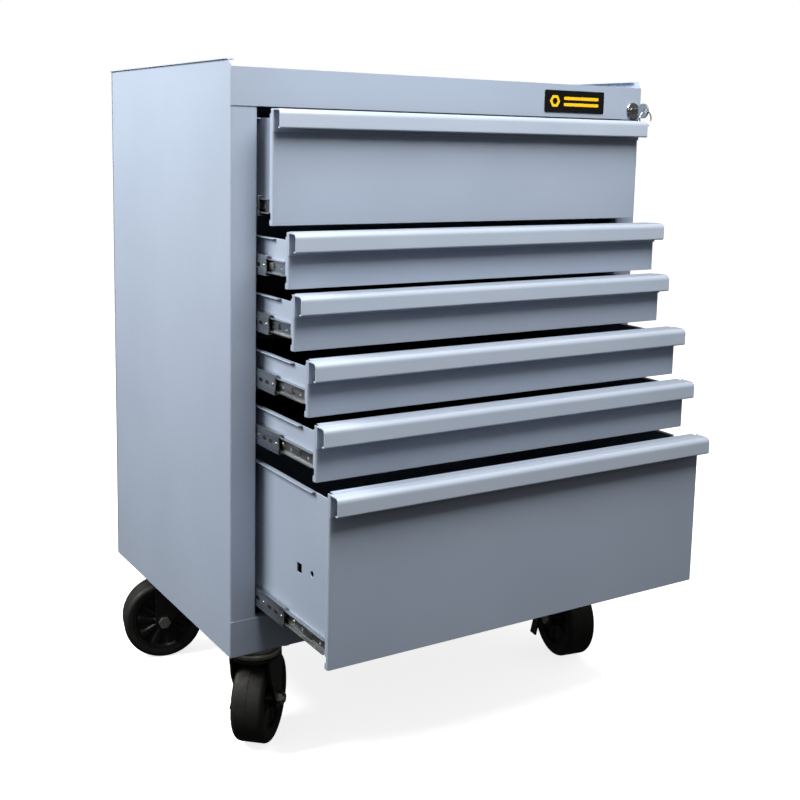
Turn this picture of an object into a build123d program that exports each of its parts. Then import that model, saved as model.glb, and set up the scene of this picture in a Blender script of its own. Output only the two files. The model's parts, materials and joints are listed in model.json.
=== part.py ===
from build123d import *
from math import cos, radians, sin
import os

# Rolling tool chest. Millimetres, +X right, -Y front, +Z up, floor at Z = 0.

# overall
body_w = 680.0
body_d = 452.0
sheet = 1.2  # folded sheet steel
skin_over = 1.0  # how far a cutting shape runs past the skin that it cuts

# drawer stack: heights are whole numbers of one pitch, from the bottom drawer up
pitch = 74.0
front_gap = 4.5
units = {1: 2, 2: 1, 3: 1, 4: 1, 5: 1, 6: 3}
rest_open = {1: 40.0, 2: 85.0, 3: 101.0, 4: 139.0, 5: 162.0, 6: 197.0}
stack_under = 6.0  # gap under the lowest front
stack_over = 3.0  # gap over the highest front

# frame sections
stile_w = 36.9
bottom_rail_h = 49.0
top_rail_h = 48.0
tray_lip = 9.5  # how far the sides stand above the tray
fold = 14.0  # depth of stiffening folds
rear_fold = 19.0  # width of the return along the back of each side
fold_r = 2.4  # centreline radius of a fold
hem_w = 11.0
rim_out = 2.2  # rolled rim along the top of each side, standing outwards
corner_cut = 8.0
corner_relief = 3.0  # notch that clears the bend of the neighbouring sheet
rib_up = (240.0, 480.0)  # stiffening ribs on the back panel, above its lower edge
rib_h = 26.0
rib_t = 3.0
rib_in = 70.0

# slides
slide_t = 12.7
slide_back = 52.0  # body depth behind and before a closed slide
slide_h = 35.0
slide_setback = 16.0
slide_up = 23.0  # slide centre above the lower edge of the front
slide_wall = 1.2
slide_lost = 20.0  # slide length less the travel
slide_outside = 4.4  # the slide's mounting face stands this far outside the opening
rail_reach = 2.7  # the cabinet member's flanges stop this far from the drawer side
mid_reach = 2.2
mid_less = 12.0  # the intermediate member is this much shorter
mid_start = 2.0
cage_gap = 3.3  # ball space between the cabinet and intermediate members
runner_h = 18.0
runner_gap = 0.6
runner_less = 2.0
runner_start = 15.0
stile_clear = 0.7  # moving slide members pass this far inside the stile
rail_hole_r = 2.5
runner_hole_r = 2.4
runner_holes = 5
runner_hole_pitch = 46.0
tab_size = (22.0, 1.8, 8.0)  # release tab: along, out, up
tab_back = 34.0
cage_t = 2.9
cage_full = 400.0  # slide length that the two runs of ball cage below are given for
cage_run = (200.0, 380.0)  # outer ball cage along the intermediate member
inner_cage_t = 2.5
inner_cage_run = (8.0, 190.0)
cage_in = 0.4
inner_cage_in = 1.9
cage_side_clear = 1.0
inner_cage_side_clear = 0.2
post_w = 30.0
post_t = 1.5
post_clear = (2.0, 3.5)  # slide posts to the caster nuts, at the front and at the rear

# drawer box
front_side_gap = 1.7
box_drop = 11.0  # box side below the top of the front
box_under = 0.5  # box floor below the lower edge of the slide's inner member
box_back = 27.0  # body depth behind a closed box
lip_clear = 2.3  # the side lips pass this far inside the stile
lip_back = 48.0  # the side lip starts this far behind the front
front_return = 8.0
flange_d = 10.0  # top and bottom folds of the front
flange_in = (6.0, 3.0)  # how far they stop short of its ends, top and bottom
return_cut = 6.0  # the side return stops this far below the top
nub_h = 7.0  # short stretch of return at the lower corner
notch_h = 9.0  # gap in the return above it, where the slide ends
deep_units = 3  # a drawer of this height has a slot and a hole in its sides
side_slot = (81.8, 94.4, 91.5, 104.0)  # back from the front, and up from its lower edge
side_hole = (54.2, 101.0, 4.0)

# pull
pull_depth = 20.0
pull_face = 23.6
pull_t = 1.5
pull_back = 28.0
pull_hook = 6.0
pull_corners = (0.9, 6.0, 1.6)  # centreline radii at the back, the nose and the return

# casters
wheel_r = 62.5
wheel_w = 46.0
tread_r = 7.0  # shoulder of the tread
dish_r = 42.0
dish_d = 6.0
boss_r = 14.0
boss_out = 1.5
trail = 20.0
caster_in_x = {"f": 56.0, "r": 70.0}
caster_in_y = {"f": 43.0, "r": 71.5}
swivel_deg = {"fl": 47.0, "fr": 80.0, "rl": 166.0, "rr": 14.0}
plate_t = 4.0
plate_rim = 10.0  # bolt centres to the edges of the plate
plate_corner = 8.0
bolt_deg = 32.15  # direction of a bolt from the swivel axis, off the long side of the plate
bolt_clear = 1.34  # bolt heads to the bearing cup
bolt_r = 4.0
bolt_head_r = 7.0
bolt_head_h = 5.0
nut_h = 6.0
bolt_past_nut = 2.0
hole_fit = 0.2
cup_r = 33.0
cup_h = 16.0
cup_edge = 3.0
kingpin_r = 6.0
kingpin_short = 1.5
axle_r = 6.0
run_fit = 0.08
axle_fit = 0.05
swivel_gap = 0.4
fork_t = 3.5
fork_gap = 2.5
wheel_clear = 7.6  # tread to the underside of the fork's crown
crown_t = 4.0
crown_over = 1.0  # the fork's crown is this much wider than the cup
crown_run = (-24.0, 32.0)
crown_corner = 10.0
leg_mid = ((34.0, 26.0), (-18.0, 30.0))  # leg outline below the crown: along, and down
leg_end_r = 13.9
leg_end_half = 13.0
stop_r = 5.0  # brake stop pin on the fork
stop_at = (4.0, 28.0)  # along, and below the crown
stop_out = 6.0
axle_hex_r = 9.5
axle_head_h = 5.0
axle_nut_h = 6.0
axle_past_nut = 3.0
lever_t = 3.0
lever_gap = 0.3
lever_fit = 0.1
lever_eye_r = 13.0
lever_arm_h = 9.0  # half height of the arm that carries the pedal
pedal_clear = 1.0  # pedal beyond the corners of the axle's head
pedal_w = 16.0
pedal_drop = (5.0, -2.0, -9.0, -32.0)  # heights of the pedal's bends from the axle
pedal_out = (12.0, 17.0)  # how far its last two bends stand out from the fork
pedal_bend_r = 3.0

# lock and badge
lock_in_x = 15.7
lock_up = 13.1  # above the lower edge of the top rail
barrel_r = 9.4
barrel_fit = 0.2
barrel_back = 16.0
bezel_r = 13.0
bezel_t = 2.5
bezel_edge = 1.4
plug_r = 6.0
plug_out = 3.0
plug_back = 0.3
keyway = (2.6, 8.4)
keyway_end = 12.0
cam_arm = 9.0
cam_t = 2.0
cam_w = 8.0
cam_hub_r = 6.0
cam_end_r = 4.0
cam_rest_deg = 45.0  # the arm rests this far below level and rises as far above it
stud_r = 2.0
stud_reach = 7.5
stud_clear = 0.6  # stud to the sides of its slot, for the arc that it follows
slot_over = 0.8
bar_w = 14.0
bar_t = 1.5
bar_past_slot = 9.0
bar_front = 4.2  # behind the face of the cam
bar_low = 24.0
bar_left = 8.4  # left edge of the bar from the stud
hook_clear = 0.7
hook_over = 2.0  # hook above the cabinet slide member
hook_h = 9.0
key_t = 2.0
key_h = 7.2
key_end = 11.0
bow_r = 11.0
bow_t = 2.4
bow_out = 20.0
bow_hole_r = 3.2
bow_hole_out = 26.0
key_out = 12.0
ring_r = 11.5
ring_wire_r = 0.9
badge = (112.5, 31.6, 1.5)
badge_corner = 2.0
badge_x = 208.3
badge_up = 23.0

# worked out
half = body_w / 2
y_front = (rest_open[6] + pull_depth - body_d) / 2
y_back = y_front + body_d
crown_r = cup_r + crown_over
bolt_reach = cup_r + bolt_head_r + bolt_clear
bolt_x = bolt_reach * cos(radians(bolt_deg))
bolt_y = bolt_reach * sin(radians(bolt_deg))
post_front = caster_in_y["f"] + bolt_y + bolt_head_r + post_clear[0]
post_rear = caster_in_y["r"] + bolt_y + bolt_head_r + post_clear[1] + post_w
caster_h = 2 * wheel_r + wheel_clear + crown_t + swivel_gap + cup_h + plate_t
z_body = caster_h
z_open_low = z_body + bottom_rail_h
z_open_top = z_open_low + stack_under + pitch * sum(units.values()) - front_gap + stack_over
z_tray = z_open_top + top_rail_h
z_top = z_tray + tray_lip
open_half = half - stile_w
front_half = open_half - front_side_gap
post_x = open_half + slide_outside
box_half = post_x - slide_t
mid_x = open_half - stile_clear
lip_x = open_half - lip_clear
slide_len = body_d - slide_back
travel = slide_len - slide_lost
box_d = body_d - box_back
box_floor = slide_up - runner_h / 2 - box_under
fork_in = wheel_w / 2 + fork_gap
fork_out = fork_in + fork_t
head_z = z_body - plate_t - cup_h - swivel_gap
face_y = y_front - sheet
cam_y = y_front + barrel_back + plug_back
lock_x = half - lock_in_x
lock_z = z_open_top + lock_up
stud_x = lock_x - cam_arm * cos(radians(cam_rest_deg))
stud_z = lock_z - cam_arm * sin(radians(cam_rest_deg))

caster_xy = {}
for tag in swivel_deg:
    across = -1 if tag[1] == "l" else 1
    depth = y_front + caster_in_y["f"] if tag[0] == "f" else y_back - caster_in_y["r"]
    caster_xy[tag] = (across * (half - caster_in_x[tag[0]]), depth)

front_z = {}
stack_z = z_open_low + stack_under
for n in sorted(units, reverse=True):
    front_z[n] = stack_z
    stack_z += units[n] * pitch
front_h = {n: units[n] * pitch - front_gap for n in units}


def slab(x0, x1, y0, y1, z0, z1):
    """A box between two corners, given in any order."""
    cx, cy, cz = (x0 + x1) / 2, (y0 + y1) / 2, (z0 + z1) / 2
    return Pos(cx, cy, cz) * Box(abs(x1 - x0), abs(y1 - y0), abs(z1 - z0))


def rod(axis, r, a, b, c0, c1):
    """A round bar along X, Y or Z; a and b are its other two coordinates, in X, Y, Z order."""
    mid, length = (c0 + c1) / 2, abs(c1 - c0)
    if axis == "X":
        return Pos(mid, a, b) * Rot(0, 90, 0) * Cylinder(r, length)
    if axis == "Y":
        return Pos(a, mid, b) * Rot(90, 0, 0) * Cylinder(r, length)
    return Pos(a, b, mid) * Cylinder(r, length)


def folded(points, thick, radius):
    """A flat section of sheet bent along its centreline."""
    return trace(FilletPolyline(*points, radius=radius), line_width=thick)


def save(name, solids):
    flat = [s for piece in solids for s in piece.solids()]
    export_step(Compound(children=flat) if len(flat) > 1 else flat[0], f"parts/{name}.step")


def side_panel(side):
    """Outer wall with the front stile, its inner fold and a rear return, hemmed and rimmed along the top."""
    h = sheet / 2
    rear = y_back - sheet - h
    path = [
        (side * (open_half + h), y_front + fold),
        (side * (open_half + h), y_front + h),
        (side * (half - h), y_front + h),
        (side * (half - h), rear),
        (side * (half - rear_fold), rear),
    ]
    skin = extrude(Pos(0, 0, z_body) * folded(path, sheet, fold_r), z_top - z_body)
    wall_in = side * (half - sheet)
    past_fold = y_front + fold + skin_over
    skin -= slab(side * open_half, wall_in, y_front - skin_over, past_fold, z_tray - sheet, z_top + skin_over)
    inner_fold = (side * (open_half - skin_over), side * (open_half + sheet + 2 * fold_r))
    for low, high in ((z_body - skin_over, z_open_low), (z_open_top, z_top)):
        skin -= slab(*inner_fold, y_front + sheet, past_fold, low, high)
    rear_cut = (0, wall_in, rear - 2 * fold_r, y_back)
    skin -= slab(*rear_cut, z_tray - sheet, z_top - sheet)
    skin -= slab(*rear_cut, z_body - skin_over, z_body + sheet)
    hem = slab(wall_in, side * (half - hem_w), y_front + fold, y_back - 2 * sheet, z_top - sheet, z_top)
    rim = slab(wall_in, side * (half + rim_out), y_front, y_back - sheet, z_top - sheet, z_top)
    nose = Plane.YZ * Polygon(
        (y_front - skin_over, z_top - corner_cut - skin_over), (y_front - skin_over, z_top + skin_over),
        (y_front + corner_cut + skin_over, z_top + skin_over), align=None)
    skin = skin + hem + rim - extrude(nose, 2 * half, both=True)
    if side > 0:
        skin -= lock_hole()
    return skin


def lock_hole():
    return rod("Y", barrel_r + barrel_fit, lock_x, lock_z, face_y - bezel_t, y_front + 2 * sheet)


def back_panel():
    wall = slab(-half, half, y_back - sheet, y_back, z_body, z_top)
    for up in rib_up:
        z = z_body + up
        wall += slab(-half + rib_in, half - rib_in, y_back - sheet - rib_t, y_back - sheet, z, z + rib_h)
    return wall


def top_tray():
    return slab(-half + sheet, half - sheet, y_front + sheet, y_back - sheet, z_tray - sheet, z_tray)


def top_rail():
    face = slab(-half, half, y_front - sheet, y_front, z_open_top, z_tray)
    face += slab(-half + sheet, half - sheet, y_front, y_front + sheet, z_tray - sheet, z_tray)
    face += slab(-open_half, open_half, y_front, y_front + fold, z_open_top, z_open_top + sheet)
    return face - lock_hole()


def floor_pan():
    pan = slab(-half + sheet, half - sheet, y_front + sheet, y_back - sheet, z_body, z_body + sheet)
    pan += slab(-open_half, open_half, y_front, y_front + 2 * sheet, z_body, z_body + sheet)
    pan += slab(-half, half, y_front - sheet, y_front, z_body, z_open_low)
    pan += slab(-open_half, open_half, y_front, y_front + fold, z_open_low - sheet, z_open_low)
    for s in (-1, 1):
        edge = s * (half - sheet)
        corner = (edge - s * corner_relief, edge, y_front + sheet, y_front + sheet + corner_relief)
        pan -= slab(*corner, z_body, z_body + sheet)
    for x, y in caster_xy.values():
        for bx, by in bolt_points(x, y):
            pan -= rod("Z", bolt_r + hole_fit, bx, by, z_body - sheet, z_body + 2 * sheet)
    return pan


def slide_post(side, y0):
    """Upright channel that carries the slides, open towards the wall."""
    low, high = z_body + sheet, z_tray - sheet
    wall = side * (half - sheet)
    web = slab(side * post_x, side * (post_x + post_t), y0, y0 + post_w, low, high)
    web += slab(side * post_x, wall, y0, y0 + post_t, low, high)
    web += slab(side * post_x, wall, y0 + post_w - post_t, y0 + post_w, low, high)
    return web


def channel(side, x_web, x_lip, height, y0, length, z, wall):
    """A slide member: a web across the height and a flange along each edge."""
    toward = 1 if x_lip > x_web else -1
    web = slab(side * x_web, side * (x_web + toward * wall), y0, y0 + length, z - height / 2, z + height / 2)
    for s in (-1, 1):
        edge = z + s * height / 2
        web += slab(side * x_web, side * x_lip, y0, y0 + length, edge, edge - s * wall)
    return web


def cabinet_rail(side, n):
    y0 = y_front + slide_setback
    z = front_z[n] + slide_up
    rail = channel(side, post_x, box_half + rail_reach, slide_h, y0, slide_len, z, slide_wall)
    for y in (post_front + post_w / 2, body_d - post_rear + post_w / 2):
        through = (side * (post_x - 2 * slide_wall), side * (post_x + slide_wall))
        rail -= rod("X", rail_hole_r, y_front + y, z, *through)
    return rail


def mid_rail(side, n):
    """Intermediate member with the strips that hold its balls; it travels half as far as the drawer."""
    y0 = y_front + slide_setback + mid_start - rest_open[n] / 2
    z = front_z[n] + slide_up
    height = slide_h - 2 * slide_wall - 2 * cage_gap
    lip = box_half + mid_reach
    solids = [channel(side, mid_x, lip, height, y0, slide_len - mid_less, z, slide_wall)]
    reach = slide_len / cage_full
    for s in (-1, 1):
        outer = z + s * height / 2
        inner = outer - s * slide_wall
        wide = (side * (mid_x - cage_in), side * (lip + cage_side_clear))
        narrow = (side * (mid_x - inner_cage_in), side * (lip + inner_cage_side_clear))
        run = [y0 + c * reach for c in cage_run]
        inner_run = [y0 + c * reach for c in inner_cage_run]
        solids.append(slab(*wide, *run, outer, outer + s * cage_t))
        solids.append(slab(*narrow, *inner_run, inner, inner - s * inner_cage_t))
    return solids


def runner(side, n, y0):
    """Inner member, fixed to the drawer side, with its fixing holes and release tab."""
    z = front_z[n] + slide_up
    start = y0 + runner_start
    lip = mid_x - slide_wall - runner_gap
    rail = channel(side, box_half, lip, runner_h, start, slide_len - runner_less, z, slide_wall)
    through = (side * (box_half - slide_wall), side * lip)
    for i in range(runner_holes):
        rail -= rod("X", runner_hole_r, start + runner_start + runner_hole_pitch * i, z, *through)
    along, out, up = tab_size
    web = box_half + slide_wall
    tab_y = start + tab_back
    tab = slab(side * web, side * (web + out), tab_y, tab_y + along, z - up / 2, z + up / 2)
    return rail + tab


def drawer_box(n, y0):
    """Folded drawer tray with a lip along each side."""
    z0 = front_z[n] + box_floor
    z1 = front_z[n] + front_h[n] - box_drop
    yf, yb = y0 + sheet, y0 + box_d
    inner = box_half - sheet
    tray = slab(-box_half, box_half, yf, yb, z0, z1)
    tray -= slab(-inner, inner, yf + sheet, yb - sheet, z0 + sheet, z1 + skin_over)
    for s in (-1, 1):
        tray += slab(s * inner, s * lip_x, y0 + lip_back, yb, z1 - sheet, z1)
    if units[n] >= deep_units:
        near, far, low, high = side_slot
        back, up, r = side_hole
        for s in (-1, 1):
            wall = (s * (inner - skin_over), s * (box_half + skin_over))
            tray -= slab(*wall, y0 + near, y0 + far, front_z[n] + low, front_z[n] + high)
            tray -= rod("X", r, y0 + back, front_z[n] + up, *wall)
    return tray


def drawer_front(n, y0):
    """Front pan with side, top and bottom folds; the side folds are notched where the slides end."""
    h = sheet / 2
    z0, z1 = front_z[n], front_z[n] + front_h[n]
    path = [
        (-front_half + h, y0 + front_return), (-front_half + h, y0 + h),
        (front_half - h, y0 + h), (front_half - h, y0 + front_return),
    ]
    pan = extrude(Pos(0, 0, z0) * folded(path, sheet, fold_r), z1 - z0)
    behind = (y0 + 2 * fold_r, y0 + front_return + skin_over)
    for s in (-1, 1):
        across = (s * (front_half + skin_over), s * (front_half - 2 * fold_r))
        pan -= slab(*across, *behind, z0 + nub_h, z0 + nub_h + notch_h)
        pan -= slab(*across, *behind, z1 - return_cut, z1 + skin_over)
    top_end, low_end = (front_half - short for short in flange_in)
    pan += slab(-top_end, top_end, y0 + h, y0 + flange_d, z1 - sheet, z1)
    pan += slab(-low_end, low_end, y0 + h, y0 + flange_d, z0, z0 + sheet)
    return pan


def drawer_pull(n, y0):
    """Full-width hooked strip: top, rounded nose, face and a short return."""
    top = front_z[n] + front_h[n]
    h = pull_t / 2
    path = [
        (y0 - h, top - pull_back), (y0 - h, top - h), (y0 - pull_depth + h, top - h),
        (y0 - pull_depth + h, top - pull_face + h), (y0 - pull_depth + pull_hook, top - pull_face + h),
    ]
    section = trace(FilletPolyline(*path, radius=list(pull_corners)), line_width=pull_t)
    return extrude(Pos(-front_half, 0, 0) * (Plane.YZ * section), 2 * front_half)


def bolt_points(x, y):
    return [(x + sx * bolt_x, y + sy * bolt_y) for sx in (-1, 1) for sy in (-1, 1)]


def caster_plate(x, y):
    """Top plate with the upper bearing cup pressed below it."""
    under = z_body - plate_t
    top = Pos(x, y, under + plate_t / 2) * Box(2 * (bolt_x + plate_rim), 2 * (bolt_y + plate_rim), plate_t)
    top = fillet(top.edges().filter_by(Axis.Z), plate_corner)
    cup = rod("Z", cup_r, x, y, under - cup_h, under)
    cup = fillet(cup.edges().filter_by(GeomType.CIRCLE).sort_by(Axis.Z)[0], cup_edge)
    top += cup
    top -= rod("Z", kingpin_r + run_fit, x, y, under - cup_h - skin_over, under)
    for bx, by in bolt_points(x, y):
        top -= rod("Z", bolt_r + hole_fit, bx, by, under - skin_over, z_body + skin_over)
    return top


def caster_bolt(x, y):
    under = z_body - plate_t
    head = Pos(x, y, under - bolt_head_h) * extrude(RegularPolygon(bolt_head_r, 6), bolt_head_h)
    nut = Pos(x, y, z_body + sheet) * extrude(RegularPolygon(bolt_head_r, 6), nut_h)
    shank_top = z_body + sheet + nut_h + bolt_past_nut
    return head + nut + rod("Z", bolt_r, x, y, under - bolt_head_h / 2, shank_top)


def place(shape, tag):
    """Moves a piece built about the swivel axis, trail along +X, to its caster."""
    x, y = caster_xy[tag]
    return Pos(x, y, 0) * Rot(0, 0, swivel_deg[tag]) * shape


def fork_shape(braked):
    """Crown with its king pin and two tapered legs."""
    low = head_z - crown_t
    crown = slab(*crown_run, -fork_out, fork_out, low, head_z)
    crown = fillet(crown.edges().filter_by(Axis.Z), crown_corner)
    crown += rod("Z", crown_r, 0, 0, low, head_z)
    (front_x, front_down), (rear_x, rear_down) = leg_mid
    top = low + crown_t / 2
    leg = Polygon((crown_run[0], top), (crown_run[1], top), (front_x, head_z - front_down),
                  (trail + leg_end_half, wheel_r), (trail - leg_end_half, wheel_r),
                  (rear_x, head_z - rear_down), align=None)
    leg += Pos(trail, wheel_r) * Circle(leg_end_r)
    fork = crown + rod("Z", kingpin_r, 0, 0, low, head_z + swivel_gap + cup_h - kingpin_short)
    for s in (-1, 1):
        plane = Plane((0, s * (fork_in + fork_t / 2), 0), x_dir=(1, 0, 0), z_dir=(0, -1, 0))
        fork += extrude(plane * leg, fork_t / 2, both=True)
    if braked:
        along, down = stop_at
        fork += rod("Y", stop_r, along, head_z - down, fork_in + fork_t / 2, fork_out + stop_out)
    return fork - rod("Y", axle_r + axle_fit, trail, wheel_r, -2 * fork_out, 2 * fork_out)


def wheel_shape():
    """Solid wheel with a dish and a boss on each face."""
    side = wheel_w / 2
    tyre = rod("Y", wheel_r, trail, wheel_r, -side, side)
    tyre = fillet(tyre.edges().filter_by(GeomType.CIRCLE), tread_r)
    for s in (-1, 1):
        floor = side - dish_d
        tyre -= rod("Y", dish_r, trail, wheel_r, s * floor, s * (side + skin_over))
        tyre += rod("Y", boss_r, trail, wheel_r, s * (floor - skin_over), s * (side + boss_out))
    return tyre - rod("Y", axle_r + run_fit, trail, wheel_r, -wheel_w, wheel_w)


def axle_shape(braked):
    far = fork_out + (lever_t + 2 * lever_gap if braked else 0)
    hexagon = RegularPolygon(axle_hex_r, 6)
    head = Plane((trail, far, wheel_r), x_dir=(1, 0, 0), z_dir=(0, 1, 0)) * hexagon
    nut = Plane((trail, -fork_out, wheel_r), x_dir=(1, 0, 0), z_dir=(0, -1, 0)) * hexagon
    bolt = rod("Y", axle_r, trail, wheel_r, -fork_out - axle_nut_h - axle_past_nut, far + axle_head_h / 2)
    return bolt + extrude(head, axle_head_h) + extrude(nut, axle_nut_h)


def lever_shape():
    """Side brake lever: an eye round the axle, an arm beside its head, and a bent pedal."""
    y0 = fork_out + lever_gap
    near = trail + axle_hex_r + pedal_clear
    lever = rod("Y", lever_eye_r, trail, wheel_r, y0, y0 + lever_t)
    lever += slab(trail, near + pedal_w, y0, y0 + lever_t, wheel_r - lever_arm_h, wheel_r + lever_arm_h)
    start, first, second, last = (wheel_r + up for up in pedal_drop)
    flat = y0 + lever_t / 2
    path = [(flat, start), (flat, first), (y0 + pedal_out[0], second), (y0 + pedal_out[1], last)]
    section = Plane.YZ * trace(FilletPolyline(*path, radius=pedal_bend_r), line_width=lever_t)
    lever += extrude(Pos(near, 0, 0) * section, pedal_w)
    return lever - rod("Y", axle_r + lever_fit, trail, wheel_r, y0 - skin_over, y0 + lever_t + skin_over)


def lock_barrel():
    body = rod("Y", bezel_r, lock_x, lock_z, face_y - bezel_t, face_y)
    body = fillet(body.edges().filter_by(GeomType.CIRCLE).sort_by(Axis.Y)[0], bezel_edge)
    body += rod("Y", barrel_r, lock_x, lock_z, face_y - bezel_t / 2, y_front + barrel_back)
    return body - rod("Y", plug_r + run_fit, lock_x, lock_z, face_y - 2 * bezel_t, cam_y + bezel_t)


def lock_plug():
    plug = rod("Y", plug_r, lock_x, lock_z, face_y - plug_out, cam_y)
    wide, high = keyway[0] / 2, keyway[1] / 2
    along = (face_y - 2 * plug_out, y_front + keyway_end)
    return plug - slab(lock_x - wide, lock_x + wide, *along, lock_z - high, lock_z + high)


def lock_cam():
    """Arm on the back of the plug, with the stud that lifts the bar."""
    mid_y = cam_y + cam_t / 2
    arm = Rot(0, -cam_rest_deg, 0) * Pos(-cam_arm / 2, 0, 0) * Box(cam_arm, cam_t, cam_w)
    cam = Pos(lock_x, mid_y, lock_z) * arm
    cam += rod("Y", cam_hub_r, lock_x, lock_z, cam_y, cam_y + cam_t)
    cam += rod("Y", cam_end_r, stud_x, stud_z, cam_y, cam_y + cam_t)
    return cam + rod("Y", stud_r, stud_x, stud_z, mid_y, cam_y + stud_reach)


def lock_bar():
    """Upright bar with a cross slot for the cam's stud and a hook at each drawer."""
    left = stud_x - bar_left
    y0 = cam_y + bar_front
    bar = slab(left, left + bar_w, y0, y0 + bar_t, z_open_low + bar_low, stud_z + bar_past_slot)
    bulge = cam_arm - (lock_x - stud_x)  # how far the stud swings out sideways on its way up
    side = stud_r + stud_clear
    slot = (stud_x - side - slot_over - bulge, stud_x + side + slot_over)
    bar -= slab(*slot, y0 - bar_t, y0 + 2 * bar_t, stud_z - side, stud_z + side)
    for n in units:
        hook_z = front_z[n] + slide_up + slide_h / 2 + hook_over
        bar += slab(open_half + hook_clear, left + bar_t, y0, y0 + bar_t, hook_z, hook_z + hook_h)
    return bar


def key():
    """Key in the lock, and the wire ring through its bow."""
    front = face_y - plug_out
    wide, high = key_t / 2, key_h / 2
    along = (front - key_out, y_front + key_end)
    blade = slab(lock_x - wide, lock_x + wide, *along, lock_z - high, lock_z + high)
    bow = rod("X", bow_r, front - bow_out, lock_z, lock_x - bow_t / 2, lock_x + bow_t / 2)
    bow -= rod("X", bow_hole_r, front - bow_hole_out, lock_z, lock_x - bow_t, lock_x + bow_t)
    ring = Pos(lock_x, front - bow_hole_out, lock_z - ring_r) * Rot(90, 0, 0) * Torus(ring_r, ring_wire_r)
    return [blade + bow, ring]


def badge_plate():
    width, height, thick = badge
    z = z_open_top + badge_up
    flat = Pos(badge_x, face_y - thick / 2, z) * Box(width, thick, height)
    return fillet(flat.edges().filter_by(Axis.Y), badge_corner)


def main():
    os.makedirs("parts", exist_ok=True)
    save("left_side_panel", [side_panel(-1)])
    save("right_side_panel", [side_panel(1)])
    save("back_panel", [back_panel()])
    save("top_tray", [top_tray()])
    save("floor_pan", [floor_pan()])
    save("top_rail", [top_rail()])
    post_y = (y_front + post_front, y_back - post_rear)
    save("slide_posts", [slide_post(s, y) for s in (-1, 1) for y in post_y])
    save("cabinet_rails", [cabinet_rail(s, n) for n in units for s in (-1, 1)])
    save("badge_plate", [badge_plate()])
    save("caster_plates", [caster_plate(x, y) for x, y in caster_xy.values()])
    save("caster_bolts", [caster_bolt(*p) for xy in caster_xy.values() for p in bolt_points(*xy)])

    save("lock_barrel", [lock_barrel()])
    save("lock_plug", [lock_plug()])
    save("lock_cam", [lock_cam()])
    save("lock_bar", [lock_bar()])
    save("key", key())

    for tag in caster_xy:
        braked = tag.startswith("f")
        save(f"caster_{tag}_fork", [place(fork_shape(braked), tag)])
        save(f"caster_{tag}_wheel", [place(wheel_shape(), tag)])
        save(f"caster_{tag}_axle", [place(axle_shape(braked), tag)])
        if braked:
            save(f"caster_{tag}_brake_lever", [place(lever_shape(), tag)])

    for n in units:
        y0 = y_front - rest_open[n]
        save(f"drawer_{n}_box", [drawer_box(n, y0)])
        save(f"drawer_{n}_front", [drawer_front(n, y0)])
        save(f"drawer_{n}_pull", [drawer_pull(n, y0)])
        save(f"drawer_{n}_runners", [runner(s, n, y0) for s in (-1, 1)])
        save(f"drawer_{n}_mid_rails", [piece for s in (-1, 1) for piece in mid_rail(s, n)])


main()
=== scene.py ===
import json
import math
import bmesh
import bpy
import numpy as np
from mathutils import Matrix, Vector


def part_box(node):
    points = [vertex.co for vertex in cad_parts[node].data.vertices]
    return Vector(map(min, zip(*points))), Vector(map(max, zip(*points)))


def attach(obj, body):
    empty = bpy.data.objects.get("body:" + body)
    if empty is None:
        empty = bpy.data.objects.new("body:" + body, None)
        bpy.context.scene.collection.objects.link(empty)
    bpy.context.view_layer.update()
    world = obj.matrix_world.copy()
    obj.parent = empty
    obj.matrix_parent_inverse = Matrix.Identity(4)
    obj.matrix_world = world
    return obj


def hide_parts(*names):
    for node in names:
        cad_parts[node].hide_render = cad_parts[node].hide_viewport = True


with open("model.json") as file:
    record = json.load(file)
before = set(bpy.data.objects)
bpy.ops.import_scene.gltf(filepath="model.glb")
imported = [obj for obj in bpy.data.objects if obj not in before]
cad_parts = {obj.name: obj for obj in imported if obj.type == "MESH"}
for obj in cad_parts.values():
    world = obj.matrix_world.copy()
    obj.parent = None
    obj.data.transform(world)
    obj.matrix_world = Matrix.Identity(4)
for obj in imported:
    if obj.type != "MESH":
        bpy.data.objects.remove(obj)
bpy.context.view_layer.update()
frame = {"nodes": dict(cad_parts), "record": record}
nodes = frame["nodes"]
joints = {j["name"]: j for j in frame["record"]["behaviour"]["joints"]}
casterTags = ("fl", "fr", "rl", "rr")
drawerNumbers = range(1, 7)


# colours are written as sRGB hex and turned to linear here
def linear(hexColour, alpha=1.0):
    parts = [int(hexColour[i:i + 2], 16) / 255 for i in (1, 3, 5)]
    return [p / 12.92 if p <= 0.04045 else ((p + 0.055) / 1.055) ** 2.4 for p in parts] + [alpha]


# adds a node: inputs are values or sockets to link, settings are the node's own properties
def addNode(tree, kind, inputs=None, **settings):
    node = tree.nodes.new(kind)
    for key, value in settings.items():
        setattr(node, key, value)
    for key, value in (inputs or {}).items():
        if isinstance(value, bpy.types.NodeSocket):
            tree.links.new(value, node.inputs[key])
        else:
            node.inputs[key].default_value = value
    return node


look = dict(noiseLow=0.3, noiseHigh=0.7, noiseDetail=2.5, wearAndSheenFullAt=0.8, wearAndSheenNoneAt=0.985, bumpStrength=0.6)
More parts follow.
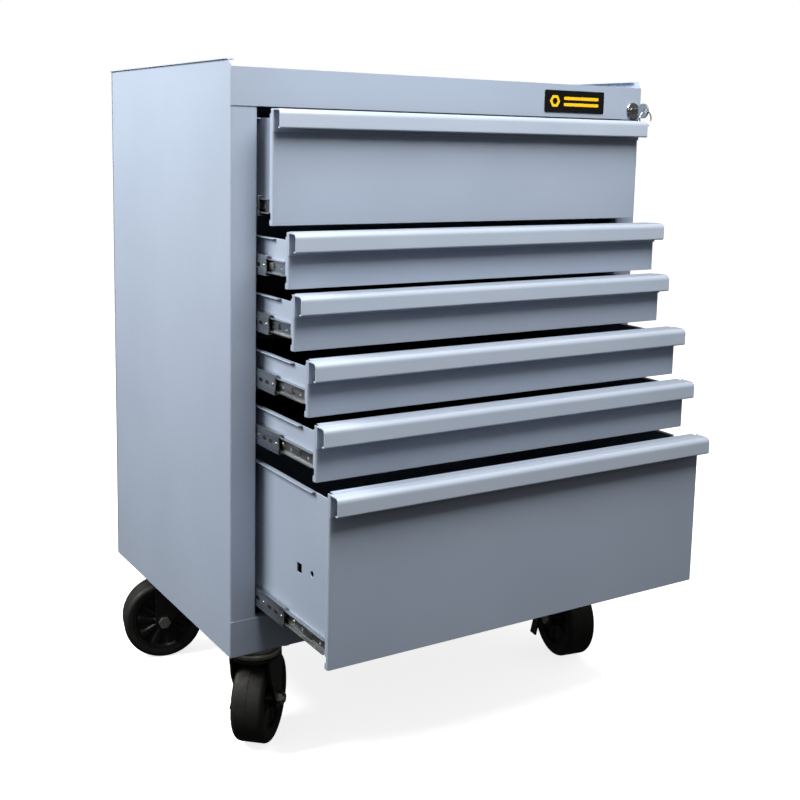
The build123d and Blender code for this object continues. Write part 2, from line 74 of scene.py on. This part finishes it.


# every finish: colour is a blend of two by noise, roughness is noise stretched between its two limits, and
# an edge is lightened, as wear and as a painted highlight, where the rounded normal and the flat one agree
# less (their dot product falls)
def finish(name, spec):
    mat = bpy.data.materials.new(name)
    mat.use_nodes = True
    tree = mat.node_tree
    shader = tree.nodes["Principled BSDF"]
    shader.inputs["Metallic"].default_value = spec.get("metallic", 0.0)
    if "coat" in spec:
        shader.inputs["Coat Weight"].default_value = spec["coat"]
        shader.inputs["Coat Roughness"].default_value = spec["coatRoughness"]
    coords = addNode(tree, "ShaderNodeTexCoord").outputs["Object"]
    drawn = addNode(tree, "ShaderNodeMapping", {
        "Vector": coords, "Scale": spec.get("stretch", (1, 1, 1))}).outputs["Vector"]
    noise = {}
    for use, sizeMm in (("blotch", spec["blotchMm"]), ("rough", spec["roughMm"]), ("fine", spec["grainMm"])):
        noise[use] = addNode(tree, "ShaderNodeTexNoise", {
            "Vector": drawn, "Scale": 1000 / sizeMm, "Detail": look["noiseDetail"]}).outputs["Fac"]
    blotch = addNode(tree, "ShaderNodeMapRange", {
        "Value": noise["blotch"], "From Min": look["noiseLow"],
        "From Max": look["noiseHigh"]}).outputs["Result"]
    blend = addNode(tree, "ShaderNodeMix", {
        0: blotch, 6: linear(spec["colour"]), 7: linear(spec["colourTwo"])}, data_type="RGBA")
    rounded = addNode(tree, "ShaderNodeBevel", {"Radius": spec["edgeMm"] / 1000}, samples=4).outputs["Normal"]
    flat = addNode(tree, "ShaderNodeNewGeometry").outputs["Normal"]
    facing = addNode(tree, "ShaderNodeVectorMath", {0: rounded, 1: flat}, operation="DOT_PRODUCT")
    # wear and painted highlight: where the two normals disagree, the edge is mixed toward the lighter edge
    # colour
    wearAndSheen = addNode(tree, "ShaderNodeMapRange", {
        "Value": facing.outputs["Value"], "From Min": look["wearAndSheenFullAt"], "From Max": look["wearAndSheenNoneAt"],
        "To Min": spec["edgeWearAndSheen"], "To Max": 0.0}).outputs["Result"]
    edged = addNode(tree, "ShaderNodeMix", {
        0: wearAndSheen, 6: blend.outputs[2], 7: linear(spec["edgeColour"])}, data_type="RGBA")
    tree.links.new(edged.outputs[2], shader.inputs["Base Color"])
    rough = addNode(tree, "ShaderNodeMapRange", {
        "Value": noise["rough"], "From Min": look["noiseLow"], "From Max": look["noiseHigh"],
        "To Min": spec["roughness"][0], "To Max": spec["roughness"][1]})
    tree.links.new(rough.outputs["Result"], shader.inputs["Roughness"])
    bump = addNode(tree, "ShaderNodeBump", {
        "Height": noise["fine"], "Distance": spec["grainDepthMm"] / 1000,
        "Strength": look["bumpStrength"], "Normal": rounded})
    tree.links.new(bump.outputs["Normal"], shader.inputs["Normal"])
    return mat


# each edge colour is lighter than its finish's colour: it paints edge wear and a painted highlight together
finishes = {
    # polyester powder coat on folded steel: satin, with a faint orange peel drawn at 3 mm so that it shows
    "powderCoatBlueGrey": dict(
        colour="#98A5BB", colourTwo="#94A1B7", edgeColour="#C3CCDA", edgeWearAndSheen=0.5, edgeMm=0.9, blotchMm=160,
        roughMm=12, roughness=(0.36, 0.44), grainMm=3, grainDepthMm=0.02),
    # the same coat in a lighter silver on the formed pulls: smoother, so it takes a long highlight
    "powderCoatSilver": dict(
        colour="#A9B5C9", colourTwo="#A4B1C6", edgeColour="#D3DBE7", edgeWearAndSheen=0.6, edgeMm=0.8, blotchMm=120,
        roughMm=14, roughness=(0.28, 0.33), grainMm=3, grainDepthMm=0.006, coat=0.3, coatRoughness=0.22),
    # bright zinc plate on rolled slide sections: drawing lines run along the slide
    "zincPlateDrawn": dict(
        colour="#C9CDD1", colourTwo="#A9ADB0", edgeColour="#F0F2F4", edgeWearAndSheen=0.5, edgeMm=0.35, metallic=1.0,
        blotchMm=18, roughMm=5, roughness=(0.22, 0.40), grainMm=1.2, grainDepthMm=0.03, stretch=(1, 0.06, 1)),
    # zinc plate on pressed and turned hardware: cloudy, with no direction
    "zincPlatePressed": dict(
        colour="#C6C9CA", colourTwo="#A6A79F", edgeColour="#ECEEEE", edgeWearAndSheen=0.5, edgeMm=0.5, metallic=1.0,
        blotchMm=9, roughMm=3, roughness=(0.34, 0.50), grainMm=1.0, grainDepthMm=0.03),
    # polished chrome plate on die-cast zinc: near mirror, with hairline handling marks
    "chromePlate": dict(
        colour="#C9CCD0", colourTwo="#BFC3C8", edgeColour="#F2F3F4", edgeWearAndSheen=0.3, edgeMm=0.3, metallic=1.0,
        blotchMm=6, roughMm=2, roughness=(0.08, 0.18), grainMm=0.8, grainDepthMm=0.005),
    # black e-coat on pressed steel: satin, with lighter edges that are slight bare wear together with a
    # painted highlight
    "blackEcoat": dict(
        colour="#0E0F11", colourTwo="#151618", edgeColour="#34363A", edgeWearAndSheen=0.5, edgeMm=0.6, blotchMm=14,
        roughMm=6, roughness=(0.32, 0.46), grainMm=1.4, grainDepthMm=0.04),
    # moulded rubber tread: matt, with a bloom of pale dust
    "mouldedRubber": dict(
        colour="#0B0C0D", colourTwo="#131415", edgeColour="#232426", edgeWearAndSheen=0.3, edgeMm=0.8, blotchMm=16,
        roughMm=7, roughness=(0.56, 0.74), grainMm=1.1, grainDepthMm=0.08),
    # glass-filled polypropylene hub: low sheen with flow marks
    "blackPolypropylene": dict(
        colour="#0D0E10", colourTwo="#131417", edgeColour="#26272A", edgeWearAndSheen=0.35, edgeMm=0.5, blotchMm=20,
        roughMm=8, roughness=(0.38, 0.52), grainMm=1.2, grainDepthMm=0.03),
    # ribbed EVA mat: matt black foam with an open skin
    "evaFoam": dict(
        colour="#08090A", colourTwo="#0E0F11", edgeColour="#17181A", edgeWearAndSheen=0.2, edgeMm=0.5, blotchMm=12,
        roughMm=4, roughness=(0.72, 0.88), grainMm=0.9, grainDepthMm=0.10),
    # black acrylic badge: smooth and glossy
    "glossAcrylic": dict(
        colour="#060607", colourTwo="#0A0A0B", edgeColour="#1E2022", edgeWearAndSheen=0.4, edgeMm=0.4, blotchMm=20,
        roughMm=9, roughness=(0.22, 0.30), grainMm=2.5, grainDepthMm=0.01),
    # yellow pad-printed ink on the badge, slightly raised
    "yellowInk": dict(
        colour="#F2BE10", colourTwo="#ECB60C", edgeColour="#F8D860", edgeWearAndSheen=0.3, edgeMm=0.15, blotchMm=6,
        roughMm=3, roughness=(0.34, 0.46), grainMm=0.6, grainDepthMm=0.01),
    # painted shade: a near-black tile stands for the unlit inside of a punched slot, seen through the slide's
    # skin
    "darkSlot": dict(
        colour="#050506", colourTwo="#0A0A0B", edgeColour="#101113", edgeWearAndSheen=0.1, edgeMm=0.2, blotchMm=4,
        roughMm=2, roughness=(0.7, 0.9), grainMm=0.8, grainDepthMm=0.01),
}
materials = {name: finish(name, spec) for name, spec in finishes.items()}
print("materials made:", len(materials))

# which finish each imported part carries; the first matching word wins
finishOf = (
    ("pull", "powderCoatSilver"), ("cabinet_rails", "zincPlateDrawn"), ("mid_rails", "zincPlateDrawn"),
    ("runners", "zincPlateDrawn"), ("slide_posts", "powderCoatBlueGrey"), ("badge", "glossAcrylic"),
    ("caster_plates", "zincPlatePressed"), ("bolts", "zincPlatePressed"), ("axle", "zincPlatePressed"),
    ("lever", "blackEcoat"), ("fork", "blackEcoat"), ("wheel", "mouldedRubber"),
    ("lock_barrel", "chromePlate"), ("lock_plug", "chromePlate"), ("key", "chromePlate"),
    ("lock_", "zincPlatePressed"), ("", "powderCoatBlueGrey"),
)
for nodeName, part in nodes.items():
    chosen = materials[next(mat for word, mat in finishOf if word in nodeName)]
    if not part.material_slots:
        part.data.materials.append(chosen)
    for held in part.material_slots:
        held.material = chosen
print("packed parts finished:", len(nodes))


# quads of a grid of points, numbered row by row: each joins a point, the next in its row and the same two in
# the next row, and the last row or column meets the first where asked
def gridQuads(rows, columns, roundRows, roundColumns):
    r = np.arange(rows if roundRows else rows - 1)[:, None]
    c = np.arange(columns if roundColumns else columns - 1)[None, :]
    r2, c2 = (r + 1) % rows, (c + 1) % columns
    corners = [r * columns + c, r * columns + c2, r2 * columns + c2, r2 * columns + c]
    return np.stack(corners, -1).reshape(-1, 4)


# puts points and faces into a piece, closes its seams and turns every face outwards
def makePiece(name, points, faces, material, body, slotName=None, sharpDeg=35):
    mesh = bpy.data.meshes.new(name)
    mesh.from_pydata(np.asarray(points, float).tolist(), [], [list(map(int, f)) for f in faces])
    shape = bmesh.new()
    shape.from_mesh(mesh)
    bmesh.ops.remove_doubles(shape, verts=shape.verts, dist=1e-6)
    bmesh.ops.recalc_face_normals(shape, faces=shape.faces)
    shape.to_mesh(mesh)
    shape.free()
    mesh.polygons.foreach_set("use_smooth", np.ones(len(mesh.polygons), bool))
    mesh.set_sharp_from_angle(angle=math.radians(sharpDeg))
    mesh.materials.append(materials[material])
    piece = bpy.data.objects.new(name, mesh)
    bpy.context.scene.collection.objects.link(piece)
    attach(piece, body)
    return piece


# surface of revolution: a point is origin + height along the axis + radius times (cosine along one side,
# sine along the other); wave may change the height by angle and radius
def revolve(profile, origin, axis, turns=64, wave=None):
    profile = np.asarray(profile, float)
    axis = np.asarray(axis, float) / np.linalg.norm(axis)
    side = np.cross(axis, (0, 0, 1)) if abs(axis[2]) < 0.9 else np.array((1.0, 0, 0))
    side /= np.linalg.norm(side)
    other = np.cross(axis, side)
    angle = np.linspace(0, 2 * np.pi, turns, endpoint=False)[:, None]
    radius = np.broadcast_to(profile[:, 0], (turns, len(profile)))
    height = np.broadcast_to(profile[:, 1], (turns, len(profile)))
    if wave is not None:
        height = wave(angle, radius, height)
    points = (np.asarray(origin, float) + height[..., None] * axis
              + (radius * np.cos(angle))[..., None] * side + (radius * np.sin(angle))[..., None] * other)
    return points.reshape(-1, 3), gridQuads(turns, len(profile), True, True)


# an arc of a profile: centre + radius times cosine and sine, from one angle to another in degrees
def arc(cx, cy, radius, start, stop, steps=6):
    a = np.radians(np.linspace(start, stop, steps))
    return np.stack([cx + radius * np.cos(a), cy + radius * np.sin(a)], -1)


# several shapes gathered into one: each shape's face numbers go up by the points before it
def gather(shapes):
    points, faces, start = [], [], 0
    for p, f in shapes:
        points.append(p)
        faces.extend([start + int(i) for i in face] for face in f)
        start += len(p)
    return np.concatenate(points), faces


domeTip = 1e-5
domeSunk = 0.0002


# rivet or screw head: a quarter of an ellipse, radius by rise, carried round, on a rim sunk a little
def dome(centre, axis, radius, rise, turns=14):
    a = np.linspace(0, np.pi / 2, 5)
    profile = np.stack([radius * np.cos(a), rise * np.sin(a)], -1)
    profile[-1, 0] = domeTip
    profile = np.vstack([[(domeTip, -domeSunk), (radius, -domeSunk)], profile])
    return revolve(profile, centre, axis, turns)


wheelHalfWidth = 0.023
tyre = dict(depth=0.0135, shoulder=0.007, beadInset=0.0012, lineWidth=0.0006, lineDepth=0.0005)


# tyre: two shoulder arcs joined over a fine parting groove, (radius, height along the axle), carried round
def buildTyre(tag, centre, axis, radius, halfWidth):
    s = tyre["shoulder"]
    outer = np.vstack([
        [(radius - tyre["depth"], -halfWidth + tyre["beadInset"])],
        arc(radius - s, -halfWidth + s, s, -90, 0, 8),
        [(radius, -tyre["lineWidth"]), (radius - tyre["lineDepth"], 0), (radius, tyre["lineWidth"])],
        arc(radius - s, halfWidth - s, s, 0, 90, 8),
        [(radius - tyre["depth"], halfWidth - tyre["beadInset"])],
    ])
    points, faces = revolve(outer, centre, axis, 96)
    return makePiece(f"tyre_{tag}", points, faces, "mouldedRubber", f"wheel_{tag}", "wheel_rubber")


hub = dict(bore=0.00608, boss=0.0135, bossProud=0.0015, bossDraft=0.0006, dish=0.0062,
           webIn=0.002, webOut=0.007, webRings=9, lipIn=0.0045, lipDown=0.0022, rimIn=0.0002, rimDown=0.0018,
           ribs=10, ribDepth=0.0028, ribSteep=2.2, ribIn=0.001, ribOut=0.006)


# hub: a boss round the axle and a dished web, mirrored to both faces. The web sinks by the rib depth times
# one less a steepened cosine of the angle times the number of ribs, which leaves that many ribs standing
def buildHub(tag, centre, axis, radius, halfWidth):
    rim = radius - tyre["depth"]
    face = halfWidth - hub["dish"]
    bossTop = halfWidth + hub["bossProud"]
    half = [(hub["bore"], bossTop), (hub["boss"], bossTop), (hub["boss"] + hub["bossDraft"], face)]
    web = np.linspace(hub["boss"] + hub["webIn"], rim - hub["webOut"], hub["webRings"])
    half += [(r, face) for r in web]
    half.append((rim - hub["lipIn"], halfWidth - hub["lipDown"]))
    half.append((rim - hub["rimIn"], halfWidth - hub["rimDown"]))
    half = np.array(half)
    profile = np.vstack([half, half[::-1] * (1, -1)])

    def ribs(angle, r, h):
        ribbed = (r > hub["boss"] + hub["ribIn"]) & (r < rim - hub["ribOut"])
        ripple = np.clip(np.cos(angle * hub["ribs"]) * hub["ribSteep"], -1, 1) * 0.5 + 0.5
        return h - np.sign(h) * np.where(ribbed, (1 - ripple) * hub["ribDepth"], 0)

    points, faces = revolve(profile, centre, axis, 120, ribs)
    return makePiece(f"hub_{tag}", points, faces, "blackPolypropylene", f"wheel_{tag}", "wheel_rubber")


ring = dict(bore=0.0331, bulge=0.0030, height=0.0096, clear=0.0003)


# raceway ring: half an ellipse standing out from the bearing cup, carried round the swivel axis
def buildRing(tag, swivel):
    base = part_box("caster_plates")[0][2] + ring["clear"]
    a = np.linspace(-np.pi / 2, np.pi / 2, 9)
    bulge = np.stack([ring["bore"] + ring["bulge"] * np.cos(a),
                      base + ring["height"] * (0.5 + 0.5 * np.sin(a))], -1)
    points, faces = revolve(bulge, (swivel[0], swivel[1], 0), (0, 0, 1), 72)
    makePiece(f"raceway_ring_{tag}", points, faces, "zincPlatePressed", "root", "zinc")


for tag in casterTags:
    roll = joints[f"wheel_{tag}_roll"]
    low, high = (Vector(v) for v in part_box(f"caster_{tag}_wheel"))
    wheelRadius = (high.z - low.z) / 2
    centre = np.array(roll["pos_m"])
    tread = buildTyre(tag, centre, roll["axis"], wheelRadius, wheelHalfWidth)
    buildHub(tag, centre, roll["axis"], wheelRadius, wheelHalfWidth)
    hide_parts(f"caster_{tag}_wheel")
    buildRing(tag, joints[f"swivel_{tag}"]["pos_m"])
print("casters dressed")

liner = dict(thickness=0.0022, ribPitch=0.0062, ribHeight=0.0009, inset=0.0018,
             boxWall=0.0012, boxLip=0.006, lift=0.0001)


# liner: a mat whose top is its thickness plus half the rib height times one plus a cosine across the drawer,
# with four points to a rib; the section is carried straight from front to back
def buildLiner(number):
    low, high = (np.array(v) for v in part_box(f"drawer_{number}_box"))
    wall, lip = liner["boxWall"], liner["boxLip"]
    x0, x1 = low[0] + lip + wall + liner["inset"], high[0] - lip - wall - liner["inset"]
    y0, y1 = low[1] + wall + liner["inset"], high[1] - wall - liner["inset"]
    zBase = low[2] + wall + liner["lift"]
    count = int((x1 - x0) / liner["ribPitch"]) * 4 + 1
    across = np.linspace(x0, x1, count)
    ripple = 0.5 + 0.5 * np.cos(np.arange(count) * np.pi / 2)
    top = zBase + liner["thickness"] + liner["ribHeight"] * ripple
    sectionX = np.concatenate([across, across[::-1]])
    sectionZ = np.concatenate([top, np.full(count, zBase)])
    loops = [np.stack([sectionX, np.full(2 * count, y), sectionZ], -1) for y in (y0, y1)]
    faces = gridQuads(2, 2 * count, False, True).tolist()
    strip = np.arange(count - 1)
    for start in (0, 2 * count):
        far = start + 2 * count - 1 - strip
        ends = np.stack([start + strip, start + strip + 1, far - 1, far], -1)
        faces += ends.tolist()
    makePiece(f"liner_{number}", np.concatenate(loops), faces, "evaFoam", f"drawer_{number}")


for number in drawerNumbers:
    buildLiner(number)
print("liners laid")

fixings = dict(radius=0.0034, rise=0.0013, back=(0.084, 0.130), inset=0.0046)


# pan-head screws that hold each runner to its drawer, on the face that shows
def buildRunnerScrews(number):
    low, high = (np.array(v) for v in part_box(f"drawer_{number}_runners"))
    z = (low[2] + high[2]) / 2
    heads = []
    for side, x in ((-1, low[0] + fixings["inset"]), (1, high[0] - fixings["inset"])):
        for back in fixings["back"]:
            place = (x, low[1] + back, z)
            heads.append(dome(place, (side, 0, 0), fixings["radius"], fixings["rise"]))
    makePiece(f"runner_screws_{number}", *gather(heads), "zincPlatePressed", f"drawer_{number}", "zinc")


# a flat shape with round corners, raised from y0 to y1; corner points go round by quarter arcs
def roundedTile(cx, cz, width, height, radius, y0, y1):
    w, h = width / 2 - radius, height / 2 - radius
    corners = ((w, h, 0), (-w, h, 90), (-w, -h, 180), (w, -h, 270))
    outline = np.vstack([arc(cx + x, cz + z, radius, a, a + 90, 5) for x, z, a in corners])
    count = len(outline)
    rings = [np.stack([outline[:, 0], np.full(count, y), outline[:, 1]], -1) for y in (y0, y1)]
    faces = gridQuads(2, count, False, True).tolist()
    return np.concatenate(rings), faces + [list(range(count)), list(range(2 * count - 1, count - 1, -1))]


slideMarks = dict(rivetBack=(0.006, 0.058), rivetRadius=0.0022, rivetRise=0.0010,
                  slotBack=(0.022, 0.040, 0.076, 0.094), slotLong=0.011, slotHigh=0.0046,
                  slotFlat=1e-4, proud=0.00012)


# rivet heads, and near-black tiles of painted shade standing for punched slots, on the outer face of each
# intermediate slide member
def buildSlideMarks(number):
    low, high = (np.array(v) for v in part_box(f"drawer_{number}_mid_rails"))
    z = (low[2] + high[2]) / 2
    rivetHeads, slotShadeTiles = [], []
    for side, x in ((-1, low[0]), (1, high[0])):
        for back in slideMarks["rivetBack"]:
            rivetHeads.append(dome((x, low[1] + back, z), (side, 0, 0),
                                   slideMarks["rivetRadius"], slideMarks["rivetRise"], 12))
        # painted shade: each slot is a thin near-black tile laid proud of the face, not a hole
        for back in slideMarks["slotBack"]:
            points, faces = roundedTile(low[1] + back, z, slideMarks["slotLong"], slideMarks["slotHigh"],
                                        slideMarks["slotHigh"] / 2 - slideMarks["slotFlat"], 0,
                                        slideMarks["proud"])
            slotShadeTiles.append((np.stack([x + side * points[:, 1], points[:, 0], points[:, 2]], -1), faces))
    body = f"drawer_{number}_mid"
    makePiece(f"slide_rivets_{number}", *gather(rivetHeads), "zincPlatePressed", body, "zinc")
    makePiece(f"slide_slot_shades_{number}", *gather(slotShadeTiles), "darkSlot", body, "zinc")


for number in drawerNumbers:
    buildRunnerScrews(number)
    buildSlideMarks(number)
print("fixings set")

badge = dict(sunk=0.0001, raised=0.0004, barRight=0.012, barLong=0.066, barHigh=0.0045, barRound=0.0012,
             barApart=0.0045, hexLeft=0.038, hexOuter=0.0095, hexInner=0.0052)

# the badge carries only a hexagonal ring beside two plain bars, in place of any mark
badgeLow, badgeHigh = (np.array(v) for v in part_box("badge_plate"))
badgeX, badgeZ = (badgeLow[0] + badgeHigh[0]) / 2, (badgeLow[2] + badgeHigh[2]) / 2
face = badgeLow[1]
ink = (face + badge["sunk"], face - badge["raised"])
barSize = (badge["barLong"], badge["barHigh"], badge["barRound"])
bars = [roundedTile(badgeX + badge["barRight"], badgeZ + dz, *barSize, *ink)
        for dz in (-badge["barApart"], badge["barApart"])]
hexAngle = np.radians(np.arange(6) * 60)
hexX, outer, inner = badgeX - badge["hexLeft"], badge["hexOuter"], badge["hexInner"]
hexRings = [np.stack([hexX + r * np.cos(hexAngle), np.full(6, y), badgeZ + r * np.sin(hexAngle)], -1)
            for r, y in ((outer, ink[0]), (outer, ink[1]), (inner, ink[1]), (inner, ink[0]))]
hexagon = (np.concatenate(hexRings), gridQuads(4, 6, True, True))
makePiece("badge_mark", *gather(bars + [hexagon]), "yellowInk", "root", "badge", sharpDeg=20)
print("badge marked")

# studio: a pale floor in a white room, a big soft box at the left and one above the front
studio = dict(lampHex="#FFFCF4", floorHex="#FBFBFC", floorGlow=0.84, floorRough=0.9, floorHalf=30,
              skyHex="#FFFAF2", skyHigh=0.34, skyLow=0.03, fadeFrom=-0.2, fadeTo=0.5,
              sideBox=dict(place=(-1.55, 0.40, 1.72), aim=(-0.34, 0.1, 0.86), size=0.9, watts=62),
              topBox=dict(place=(-0.10, -0.94, 1.86), aim=(-0.05, -0.15, 0.88), size=1.0, watts=38))
floorMesh = bpy.data.meshes.new("floor")
edge = studio["floorHalf"]
floorCorners = [(-edge, -edge, 0), (edge, -edge, 0), (edge, edge, 0), (-edge, edge, 0)]
floorMesh.from_pydata(floorCorners, [], [(0, 1, 2, 3)])
floorMaterial = bpy.data.materials.new("floorPaint")
floorMaterial.use_nodes = True
floorShader = floorMaterial.node_tree.nodes["Principled BSDF"]
floorShader.inputs["Base Color"].default_value = linear(studio["floorHex"])
floorShader.inputs["Roughness"].default_value = studio["floorRough"]
floorShader.inputs["Emission Color"].default_value = linear(studio["floorHex"])
floorShader.inputs["Emission Strength"].default_value = studio["floorGlow"]
floorMesh.materials.append(floorMaterial)
floor = bpy.data.objects.new("floor", floorMesh)
# the floor neither lights the object nor shows in it
floor.visible_diffuse = False
floor.visible_glossy = False
bpy.context.scene.collection.objects.link(floor)
# the plain transform keeps white paint and a white room white; the usual one greys them
bpy.context.scene.view_settings.view_transform = "Standard"

# the room: plain white where the camera sees it, and a dimmer sky that fades downwards as light
world = bpy.data.worlds.new("studioWorld")
world.use_nodes = True
room = world.node_tree
height = addNode(room, "ShaderNodeSeparateXYZ", {0: addNode(room, "ShaderNodeTexCoord").outputs["Generated"]})
strength = addNode(room, "ShaderNodeMapRange", {
    "Value": height.outputs["Z"], "From Min": studio["fadeFrom"], "From Max": studio["fadeTo"],
    "To Min": studio["skyLow"], "To Max": studio["skyHigh"]})
sky = room.nodes["Background"]
sky.inputs["Color"].default_value = linear(studio["skyHex"])
room.links.new(strength.outputs["Result"], sky.inputs["Strength"])
seen = addNode(room, "ShaderNodeBackground", {"Color": linear("#FFFFFF")})
camRay = addNode(room, "ShaderNodeLightPath").outputs["Is Camera Ray"]
both = addNode(room, "ShaderNodeMixShader", {
    0: camRay, 1: sky.outputs["Background"], 2: seen.outputs["Background"]})
room.links.new(both.outputs["Shader"], room.nodes["World Output"].inputs["Surface"])
bpy.context.scene.world = world


# a square area lamp at place, turned so that it looks along aim less place
def softBox(name, place, aim, size, watts):
    lamp = bpy.data.lights.new(name, "AREA")
    lamp.shape, lamp.size, lamp.energy = "SQUARE", size, watts
    lamp.color = linear(studio["lampHex"])[:3]
    box = bpy.data.objects.new(name, lamp)
    box.location = place
    box.rotation_mode = "QUATERNION"
    box.rotation_quaternion = (Vector(aim) - Vector(place)).to_track_quat("-Z", "Y")
    bpy.context.scene.collection.objects.link(box)


softBox("sideBox", **studio["sideBox"])
softBox("topBox", **studio["topBox"])

# the camera's way forward comes from its yaw and pitch, and its level and upright turn by its roll
view = dict(place=(-0.9315, -1.4596, 0.8407), yaw=32.187, pitch=-8.396, roll=1.258,
            lens=52.31, sensor=36.0, shiftY=-0.1125)
yaw, pitch, roll = (math.radians(view[k]) for k in ("yaw", "pitch", "roll"))
forward = Vector((math.sin(yaw) * math.cos(pitch), math.cos(yaw) * math.cos(pitch), math.sin(pitch)))
level = forward.cross(Vector((0, 0, 1))).normalized()
upright = level.cross(forward)
right = math.cos(roll) * level + math.sin(roll) * upright
top = -math.sin(roll) * level + math.cos(roll) * upright
cameraData = bpy.data.cameras.new("camera")
cameraData.lens = view["lens"]
cameraData.sensor_width = view["sensor"]
cameraData.shift_y = view["shiftY"]
camera = bpy.data.objects.new("camera", cameraData)
camera.matrix_world = Matrix.Translation(view["place"]) @ Matrix((right, top, -forward)).transposed().to_4x4()
bpy.context.scene.collection.objects.link(camera)
bpy.context.scene.camera = camera
print("studio ready")
